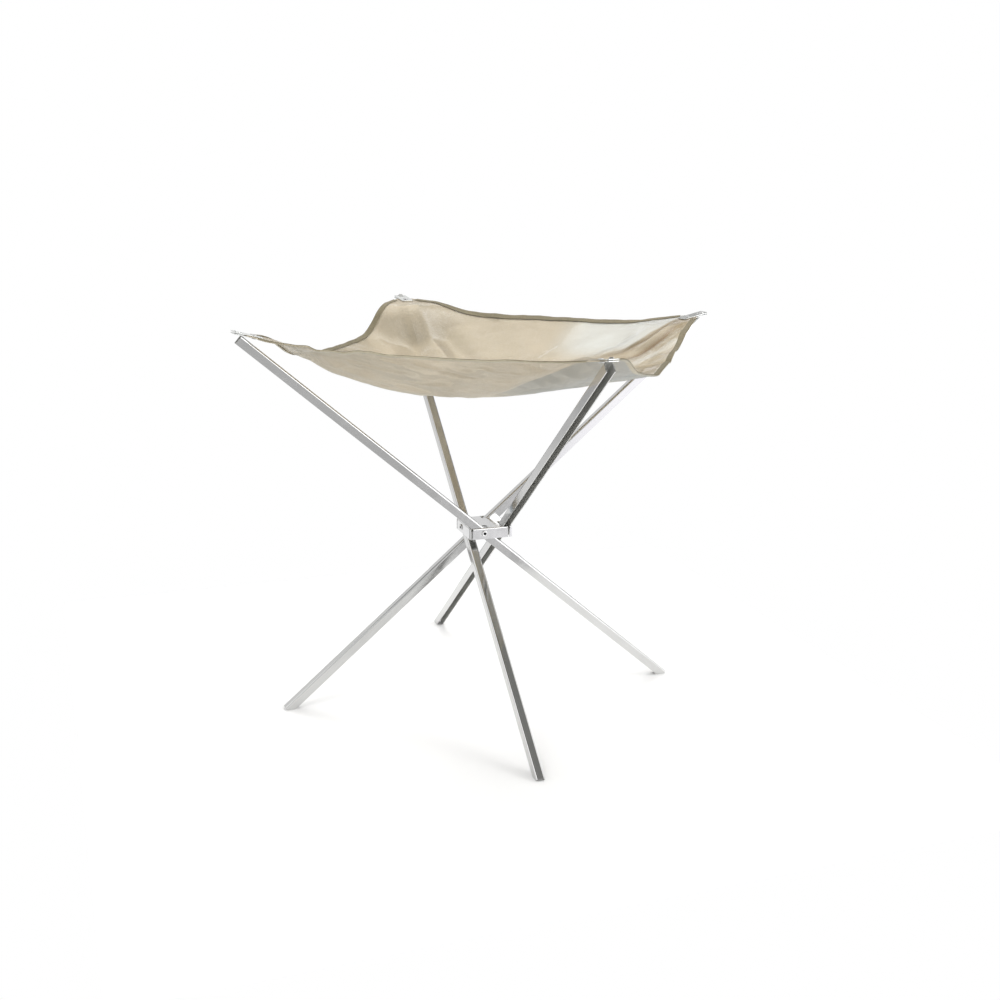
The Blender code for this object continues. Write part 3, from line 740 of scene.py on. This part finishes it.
def drape(u, v):
    """Main surface, in mm. u runs from corner A to B and v from A to D, both from -1 to 1."""
    weight = {"a": (1 - u) * (1 - v) / 4, "b": (1 + u) * (1 - v) / 4,
              "c": (1 + u) * (1 + v) / 4, "d": (1 - u) * (1 + v) / 4}
    x, y, z = (sum(weight[n] * corner[n][k] for n in LEGS) for k in range(3))
    drop = (1 - v) / 2 * sag("ab", u) + (1 + v) / 2 * sag("dc", u)
    drop = drop + (1 + u) / 2 * sag("bc", v) + (1 - u) / 2 * sag("ad", v)
    depth, gather, skew = BOWL
    hollow = np.maximum((1 - u * u) * (1 - v * v), 0.0) ** gather
    z = z - drop - depth * hollow * (1 - skew * u)
    for n in LEGS:
        out = corner[n][:2] / np.hypot(*corner[n][:2])
        dx, dy = x - corner[n][0], y - corner[n][1]
        along = -(dx * out[0] + dy * out[1])
        across = dy * out[0] - dx * out[1]
        height, pitch, spread = FOLD
        reach = ease(along, *FOLD_RISE) * (1 - ease(along, *FOLD_FADE))
        z = z + height * reach * np.cos(2 * np.pi * across / pitch) * np.exp(
            -(across / spread) ** 2)
        free = ease(np.hypot(dx, dy), *CORNER_FLAT)
        flat = corner[n][2] - math.tan(math.radians(CORNER_TILT[n])) * along
        z = free * z + (1 - free) * flat
    return x, y, z


middle = drape(np.array(0.0), np.array(0.0))
print("cloth side", round(SIDE, 1), "mm, middle of the bowl at", round(float(middle[2]), 1))

# %% [markdown]
# ### Creases and crumples
#
# A crease is a line where the wires have bent for good: sharp along its middle and soft a little
# way off. Each one is given by the points it runs through on the cloth, its height, up for a ridge
# and down for a valley, and its width. Between the creases the sheet is never quite flat, and a
# few soft layers of noise stand for that. Both die away at the plates, where the cloth is clamped.

# %% Creases and crumples
CREASES = [
    # points (u, v), height and width in mm
    (((0.97, -0.95), (0.75, -0.69), (0.634, -0.603), (0.477, -0.449), (0.281, -0.298),
      (0.109, -0.152), (-0.05, -0.02)), 5.5, 15.0),
    (((0.95, 0.97), (0.848, 0.828), (0.796, 0.73), (0.751, 0.677), (0.68, 0.637),
      (0.619, 0.577), (0.5, 0.48)), -4.0, 8.0),
    (((0.95, 0.9), (0.87, 0.77), (0.79, 0.66), (0.66, 0.53)), 2.6, 6.0),
    (((0.97, 0.88), (0.94, 0.78), (0.87, 0.64), (0.8, 0.58), (0.68, 0.45)), -2.6, 6.0),
    (((0.98, 0.7), (0.95, 0.55), (0.919, 0.467), (0.828, 0.376)), 2.2, 6.0),
    (((0.99, 0.4), (0.92, 0.34), (0.8, 0.3)), -2.0, 5.0),
    (((1.25, 0.26), (1.0, 0.265), (0.75, 0.28)), -3.2, 4.0),
    (((1.25, 0.37), (1.0, 0.365), (0.75, 0.36)), 2.8, 7.0),
    (((-0.86, -1.0), (-0.68, -1.0), (-0.5, -1.0)), 2.6, 12.0),
    (((-0.6, -1.0), (-0.3, -1.0)), -2.5, 12.0),
    (((-0.95, -0.92), (-0.72, -0.76), (-0.5, -0.62), (-0.35, -0.55)), -2.4, 6.0),
    (((-0.93, -0.95), (-0.7, -0.9), (-0.45, -0.86)), 1.5, 6.0),
    (((-0.8, -0.6), (-0.66, -0.72), (-0.45, -0.8)), -1.6, 4.0),
    (((-0.47, -0.88), (-0.33, -0.82), (-0.15, -0.77)), 1.3, 4.0),
    (((-0.34, -0.63), (-0.19, -0.635), (0.02, -0.59)), -1.3, 4.0),
    (((-0.24, -0.93), (-0.16, -0.92), (-0.08, -0.89)), -1.7, 3.5),
    (((-0.06, -0.93), (0.01, -0.885), (0.12, -0.85)), -1.9, 3.5),
    (((0.05, -0.84), (0.15, -0.76), (0.26, -0.67)), 1.6, 4.0),
    (((0.31, -0.9), (0.38, -0.8), (0.52, -0.71)), -1.5, 4.0),
    (((0.47, -0.97), (0.56, -0.87), (0.64, -0.67)), 1.6, 4.0),
    (((-0.93, 0.95), (-0.6, 0.62), (-0.3, 0.36)), 2.2, 8.0),
    (((0.99, 0.1), (0.72, 0.02), (0.5, -0.1)), 1.6, 8.0),
    (((-0.99, 0.1), (-0.7, 0.02), (-0.4, 0.1)), -1.6, 8.0),
    (((-0.99, 0.5), (-0.8, 0.42), (-0.6, 0.2)), 1.2, 8.0),
    (((0.25, 0.98), (0.2, 0.66), (0.05, 0.4)), 1.4, 7.0),
    (((-0.3, 0.98), (-0.35, 0.7)), -1.1, 6.0),
]
LINE_RISE = (0.0, 0.2)               # shares of a line over which it grows and dies away
LINE_FADE = (0.65, 1.0)
CRUMPLES = (
    # height, size of the lumps and place in the noise: shift along X and Y, depth
    (1.3, 46.0, (0, 0), 3.7),
    (0.9, 21.0, (300, 0), 8.2),
    (0.32, 9.0, (0, 500), 5.9),
)
CLAMPED = (26.0, 62.0)               # from a corner: flat up to the first, free past the second


def line_distance(x, y, points):
    """Distance to a line through points, and how far along it the nearest point is, 0 to 1."""
    best = np.full(x.shape, 1e9)
    place = np.zeros(x.shape)
    steps = [math.dist(a, b) for a, b in zip(points[:-1], points[1:])]
    total, done = sum(steps), 0.0
    for (ax, ay), (bx, by), step in zip(points[:-1], points[1:], steps):
        t = np.clip(((x - ax) * (bx - ax) + (y - ay) * (by - ay)) / step ** 2, 0, 1)
        gap = np.hypot(x - ax - t * (bx - ax), y - ay - t * (by - ay))
        nearer = gap < best
        best = np.where(nearer, gap, best)
        place = np.where(nearer, (done + t * step) / total, place)
        done += step
    return best, place


def soft_noise(x, y, size, depth):
    """Smooth noise of about one unit, with lumps of a size in mm, at a depth in the noise."""
    values = [noise.noise(Vector((a / size, b / size, depth))) for a, b in zip(x.flat, y.flat)]
    return np.array(values).reshape(x.shape)


def crumple(x, y, u, v):
    """Height of all the creases and crumples."""
    height = np.zeros(x.shape)
    half = SIDE / 2
    for points, tall, wide in CREASES:
        scaled = [(a * half, b * half) for a, b in points]
        gap, place = line_distance(u * half, v * half, scaled)
        fade = ease(place, *LINE_RISE) * (1 - ease(place, *LINE_FADE))
        height += tall * fade * np.exp(-gap / wide)
    for tall, size, (right, back), depth in CRUMPLES:
        height += tall * soft_noise(x + right, y + back, size, depth)
    for n in LEGS:
        height *= ease(np.hypot(x - corner[n][0], y - corner[n][1]), *CLAMPED)
    return height


def cloth(u, v):
    """Finished middle surface of the cloth, in mm."""
    x, y, z = drape(u, v)
    return x, y, z + crumple(x, y, u, v)


print("creases:", len(CREASES), "crumples:", len(CRUMPLES))

# %% [markdown]
# ### Heat colour and painted light on the cloth
#
# Steel wire turns straw and brown where a fire has heated it and stays grey where it kept cool, and
# some bands here are that heat colour. The others are painted light and shade: dark lines in crease
# valleys, pale lines on ridges, a pale panel by side DC for light seen through the cloth, and a
# grey panel beside the long crease from corner B, where that side is lit differently. The two sides
# of the cloth differ, so each band names its side. A band is soft along a line, painted into a
# colour attribute whose fourth value says how strongly it covers the wire.

# %% Heat colour and painted light and shade on the cloth
STAINS_AND_SHADE = [
    # side, points (u, v) from the corner inwards, half width and soft edge in mm, colour, strength
    # pale panel by side DC: painted light, for brightness seen through the cloth
    ("in", ((0.84, 0.9), (0.66, 0.8), (0.55, 0.8), (0.1, 0.84)), 20, 40, (0.78, 0.79, 0.75), 0.9),
    # heat colour along the diagonal to corner C
    ("in", ((0.97, 0.92), (0.88, 0.76), (0.78, 0.63), (0.5, 0.38)), 14, 4,
     (0.46, 0.365, 0.235), 0.9),
    # pale line on a crease ridge: painted highlight
    ("in", ((0.87, 0.77), (0.79, 0.66), (0.62, 0.48)), 2, 5, (0.64, 0.56, 0.42), 0.7),
    # dark line in a crease valley: painted shade
    ("in", ((0.93, 0.95), (0.848, 0.828), (0.796, 0.73), (0.751, 0.677), (0.68, 0.637),
            (0.619, 0.577), (0.44, 0.44)), 1.5, 4, (0.33, 0.255, 0.16), 0.9),
    # dark line in a crease valley: painted shade
    ("in", ((0.94, 0.78), (0.87, 0.64), (0.8, 0.58), (0.62, 0.4)), 1.5, 5,
     (0.31, 0.21, 0.115), 0.9),
    # heat colour
    ("in", ((0.97, 0.8), (0.92, 0.62), (0.8, 0.44)), 6, 5, (0.47, 0.38, 0.22), 0.7),
    # pale line on a crease ridge: painted highlight
    ("in", ((0.95, 0.55), (0.919, 0.467), (0.87, 0.438), (0.73, 0.3)), 4, 4,
     (0.78, 0.74, 0.64), 0.9),
    # heat colour near side BC
    ("in", ((1.0, 0.14), (0.85, 0.16), (0.5, 0.2)), 22, 7, (0.46, 0.375, 0.235), 0.8),
    # grey panel beside the long crease from corner B: painted light, that side lit differently
    ("out", ((1.1, -0.8), (0.886, -0.53), (0.77, -0.457), (0.613, -0.303), (0.417, -0.152),
             (0.1, 0.12)), 38, 1.5, (0.41, 0.415, 0.385), 0.9),
    # broad grey spread of that panel: painted light as well
    ("out", ((1.1, -0.4), (0.6, 0.1)), 40, 30, (0.44, 0.44, 0.41), 0.8),
]


def stained_and_shaded(u, v, inside):
    """Colour and strength of the heat colour and the painted light and shade at points of the
    cloth. inside is true on the upper side.
    """
    half = SIDE / 2
    colour, cover = np.ones((len(u), 3)), np.zeros(len(u))
    for side, points, wide, soft, tint, strength in STAINS_AND_SHADE:
        gap, place = line_distance(u * half, v * half, [(a * half, b * half) for a, b in points])
        share = strength * (1 - ease(gap, wide, wide + soft)) * (1 - ease(place, *LINE_FADE))
        share = np.where(inside == (side == "in"), share, 0.0)
        total = cover + share - cover * share
        weight = np.where(total > 0, share / np.maximum(total, 1e-6), 0.0)[:, None]
        colour = colour * (1 - weight) + np.array(tint) * weight
        cover = total
    return np.column_stack([colour, cover])


print("stains_and_painted_shade:", len(STAINS_AND_SHADE))

# %% Hanging sheet
CLOTH_CELLS = 190
CORNER_CUT = 8.8 / math.sqrt(2)      # snipped off the corner's point, along the diagonal
CLOTH_HOLE = 1.9                     # radius round a corner rivet


def woven_through(bm, up, sheet):
    """Turn a surface towards a direction and give it its thickness, half to each side."""
    bmesh.ops.recalc_face_normals(bm, faces=bm.faces)
    if sum(f.normal.dot(up) for f in bm.faces) < 0:
        bmesh.ops.reverse_faces(bm, faces=bm.faces)
    bm.normal_update()
    for vert in bm.verts:
        vert.co += vert.normal * (sheet / 2)
    bmesh.ops.solidify(bm, geom=bm.faces[:], thickness=sheet)
    bm.normal_update()
    return bm


def hanging_sheet():
    """A grid moved onto the drape, its corners and rivet holes cut, then thickened."""
    bm = bmesh.new()
    bmesh.ops.create_grid(bm, x_segments=CLOTH_CELLS, y_segments=CLOTH_CELLS, size=1)
    layer = bm.loops.layers.uv.new("cloth")
    bm.verts.ensure_lookup_table()
    flat = np.array([v.co[:2] for v in bm.verts])
    for face in bm.faces:
        for loop in face.loops:
            loop[layer].uv = loop.vert.co.xy * (SIDE / 2 * MM)
    x, y, z = cloth(flat[:, 0], flat[:, 1])
    for vert, a, b, c in zip(bm.verts, x, y, z):
        vert.co = (a, b, c)
    for n in LEGS:
        out = Vector((*corner[n][:2], 0)).normalized()
        edge = Vector(corner[n]) - out * CORNER_CUT
        geom = bm.verts[:] + bm.edges[:] + bm.faces[:]
        bmesh.ops.bisect_plane(bm, geom=geom, plane_co=edge, plane_no=out, clear_outer=True)
        axis = plate_frame(n) @ Vector((-RIVET_AT, 0, PLATE_STACK))
        hole = [v for v in bm.verts if (v.co - axis).length < CLOTH_HOLE]
        bmesh.ops.delete(bm, geom=hole, context="VERTS")
    woven_through(bm, Vector((0, 0, 1)), CLOTH_THICK)
    # heat colour and painted light and shade on the folds go into this colour attribute
    paint = bm.verts.layers.float_color.new("stain_and_shade")
    spots = np.array([v.link_loops[0][layer].uv for v in bm.verts]) / (SIDE / 2 * MM)
    inside = np.array([v.normal.z > 0 for v in bm.verts])
    for vert, value in zip(bm.verts, stained_and_shaded(spots[:, 0], spots[:, 1], inside)):
        vert[paint] = value
    return bm


sheet_piece = finished("woven_fire_sheet", hanging_sheet(), [cloth_finish], "net", None,
                       ["fire_net"], sharp=80, flat=False)
print("cloth:", sum(len(p.vertices) - 2 for p in sheet_piece.data.polygons), "triangles")

# %% [markdown]
# ## Hems
#
# A cut edge of woven wire frays, so a strip is folded over each side and pressed flat. It is a
# grid again: one direction follows the side of the cloth, the other goes from the upper side round
# the edge to the lower one. The pressing isn't even, so its width and its grip vary a little.

# %% Folded hems
HEM_WIDE = {"ab": 6.0, "bc": 5.0, "dc": 8.0, "ad": 5.5}      # on the upper side
HEM_UNDER = 3.0                      # on the lower side
HEM_SHEET = 0.4
HEM_START = 22.0                     # from the cloth's corner point
HEM_CELLS = (230, 26)                # along the side and round its edge
INTO_CLOTH = 4.0                     # from the edge to the point that gives the strip's direction
UNEVEN = (0.5, 24.0, 1.7)            # of the strip's width: height, size and depth of the noise
GRIP = (0.12, 9.0, 4.1)              # of the strip's distance from the cloth


def side_uv(side, t, inset):
    """Cloth coordinates at a share of a side, an inset in mm from its edge."""
    run = 2 * t - 1
    into = 2 * inset / SIDE - 1
    return {"ab": (run, into), "dc": (run, -into), "ad": (into, run), "bc": (-into, run)}[side]


def folded_hem(side):
    """A strip bent over one side of the cloth."""
    cells, around = HEM_CELLS
    share = np.linspace(HEM_START / SIDE, 1 - HEM_START / SIDE, cells + 1)
    edge = np.stack(cloth(*side_uv(side, share, np.zeros_like(share))), axis=1)
    inside = np.stack(cloth(*side_uv(side, share, np.full_like(share, INTO_CLOTH))), axis=1)
    inward = inside - edge
    inward /= np.linalg.norm(inward, axis=1, keepdims=True)
    along = np.gradient(edge, axis=0)
    up = np.cross(inward, along)
    up /= np.linalg.norm(up, axis=1, keepdims=True)
    up *= np.sign(up[:, 2:3])
    bend = CLOTH_THICK / 2 + GAP + HEM_SHEET / 2
    quarter = math.pi * bend / 2
    bm = bmesh.new()
    bmesh.ops.create_grid(bm, x_segments=cells, y_segments=around, size=1)
    layer = bm.loops.layers.uv.new("cloth")
    upper, lower = HEM_WIDE[side] + GAP, HEM_UNDER + GAP
    path = upper + lower + math.pi * bend
    for face in bm.faces:
        if face.calc_center_median().y < 2 * (lower + quarter) / path - 1:
            face.material_index = 1
        for loop in face.loops:
            co = loop.vert.co
            loop[layer].uv = (co.x * SIDE / 2 * MM, co.y * path / 2 * MM)
    for vert in bm.verts:
        i = round((vert.co.x + 1) / 2 * cells)
        s = (vert.co.y + 1) * path / 2 - lower - quarter
        reach = (abs(s) - quarter) / (upper if s > 0 else lower)
        if reach > 0:
            tall, size, depth = UNEVEN
            uneven = tall * noise.noise(Vector((*edge[i][:2] / size, depth + ord(side[0]))))
            p = -GAP + ((upper if s > 0 else lower) + uneven) * reach
            tall, size, depth = GRIP
            grip = tall * reach * noise.noise(Vector((*edge[i][:2] / size, depth + np.sign(s))))
            q = math.copysign(bend + grip, s)
        else:
            turn = s / bend
            p, q = -GAP - bend * math.cos(turn), bend * math.sin(turn)
        vert.co = edge[i] + inward[i] * p + up[i] * q
    return woven_through(bm, Vector(-inward[cells // 2]), HEM_SHEET)


for side in SIDE_SAG:
    finished(f"folded_hem_{side}", folded_hem(side), [hem_finish, turned_finish], "net",
                         None, [f"strip_{side}"], sharp=70, flat=False)

# %% [markdown]
# ### What the cloth is
#
# The sagging sides and the bowl take up more cloth than the straight lines between the corners.

# %% [markdown]
# ## Floor and light
#
# The photograph is a studio one on a white sweep. Steel has hardly any colour of its own: it shows
# what stands round it. So the air round the object has bright and dark parts, like soft boxes and
# grey cards, which light the object and show in its steel, while the camera sees plain white.

# %% Floor
FLOOR_HALF = 0.45                    # metres

bm = bmesh.new()
bmesh.ops.create_grid(bm, x_segments=1, y_segments=1, size=FLOOR_HALF)
floor = loose_object("studio_floor", bm)
paper, tree, shader = new_finish("studio_paper")
place = add(tree, "TexCoord").outputs["Object"]
grainy = add(tree, "TexNoise", [("Vector", place)], Scale=5.0, Detail=4.0).outputs["Fac"]
tree.links.new(between(tree, grainy, (0.94, 0.94, 0.94), (0.97, 0.97, 0.97)),
               shader.inputs["Base Color"])
shader.inputs["Roughness"].default_value = 0.9
shader.inputs["Specular IOR Level"].default_value = 0.1
floor.data.materials.append(paper)
print("floor:", 2 * FLOOR_HALF, "m square")

# %% Air with soft boxes and cards
AIR = (0.86, 0.86, 0.86)
WHITE = (1.0, 1.0, 1.0)
CARDS = [
    # towards, inner and outer cosine, colour
    ((0.0, 0.0, -1.0), 0.16, 0.04, (0.52, 0.52, 0.51)),     # floor outside the sweep
    ((0.0, 0.0, 1.0), 0.82, 0.66, (0.5, 0.5, 0.47)),        # ceiling
    ((0.16, 0.5, 0.86), 0.95, 0.86, (1.7, 1.7, 1.68)),      # soft box above the back
    ((0.36, -0.35, 0.86), 0.975, 0.94, (0.26, 0.26, 0.25)),     # dark beam of the ceiling
    ((0.2, -0.955, -0.2), 0.985, 0.955, (0.64, 0.64, 0.64)),    # grey behind the camera
    ((0.78, -0.6, -0.12), 0.87, 0.855, (1.5, 1.48, 1.55)),  # white wall, front right
    ((0.5, -0.82, 0.2), 0.96, 0.94, (3.0, 3.0, 3.0)),       # strip light, front right
    ((-0.4, 0.8, -0.45), 0.97, 0.9, (1.05, 1.05, 1.05)),    # pale wall, back left
    ((-0.5, 0.86, -0.08), 0.988, 0.973, (0.56, 0.56, 0.56)),    # grey card, back left
    ((0.42, 0.76, -0.5), 0.93, 0.84, (0.6, 0.68, 0.74)),    # cool wall, back right
    ((0.9, -0.2, 0.38), 0.9, 0.87, (1.5, 1.5, 1.5)),        # soft box, right
    ((-0.85, -0.1, 0.4), 0.93, 0.87, (1.5, 1.5, 1.5)),      # soft box, left
    ((0.08, 0.98, -0.14), 0.993, 0.985, (0.05, 0.05, 0.05)),    # black card, back
    ((0.76, 0.5, 0.38), 0.97, 0.955, (0.04, 0.04, 0.04)),   # black card, right
    ((0.62, 0.78, 0.15), 0.965, 0.945, (0.04, 0.04, 0.04)),     # black card, back right
    ((-0.45, -0.2, 0.87), 0.965, 0.93, (0.03, 0.03, 0.03)),     # black card, above left
    ((-0.5, 0.34, 0.8), 0.985, 0.972, (0.06, 0.06, 0.06)),      # black card, back left
]
world = bpy.data.worlds.new("studio_air")
world.use_nodes = True
bpy.context.scene.world = world
tree = world.node_tree
towards = add(tree, "TexCoord").outputs["Generated"]
colour = AIR
for direction, inside, outside, tint in CARDS:
    along = add(tree, "VectorMath", [(0, towards)], operation="DOT_PRODUCT")
    along.inputs[1].default_value = Vector(direction).normalized()
    colour = between(tree, remap(tree, along.outputs["Value"], outside, inside, 0, 1), colour, tint)
seen = add(tree, "LightPath").outputs["Is Camera Ray"]
tree.links.new(between(tree, seen, colour, WHITE), tree.nodes["Background"].inputs["Color"])
print("cards and soft boxes in the air:", len(CARDS))

# %% Lights
AIM = Vector((0, 0, 0.2))            # metres, about the height of the hub


def soft_box(name, place, size, watts):
    """A flat lamp that looks at the object and doesn't show in its steel."""
    light = bpy.data.lights.new(name, "AREA")
    light.shape = "RECTANGLE"
    light.size, light.size_y = size
    light.energy = watts
    obj = bpy.data.objects.new(name, light)
    obj.location = place
    obj.rotation_euler = (AIM - Vector(place)).to_track_quat("-Z", "Y").to_euler()
    obj.visible_glossy = False
    bpy.context.scene.collection.objects.link(obj)


soft_box("key_box", (-1.6, -1.2, 2.4), (1.6, 1.2), 22)
soft_box("fill_box", (2.0, -0.9, 1.9), (1.2, 1.4), 14)
soft_box("back_box", (0.4, 2.1, 2.1), (1.8, 1.0), 18)
bpy.context.scene.view_settings.view_transform = "Standard"
print("lamps:", len(bpy.data.lights))
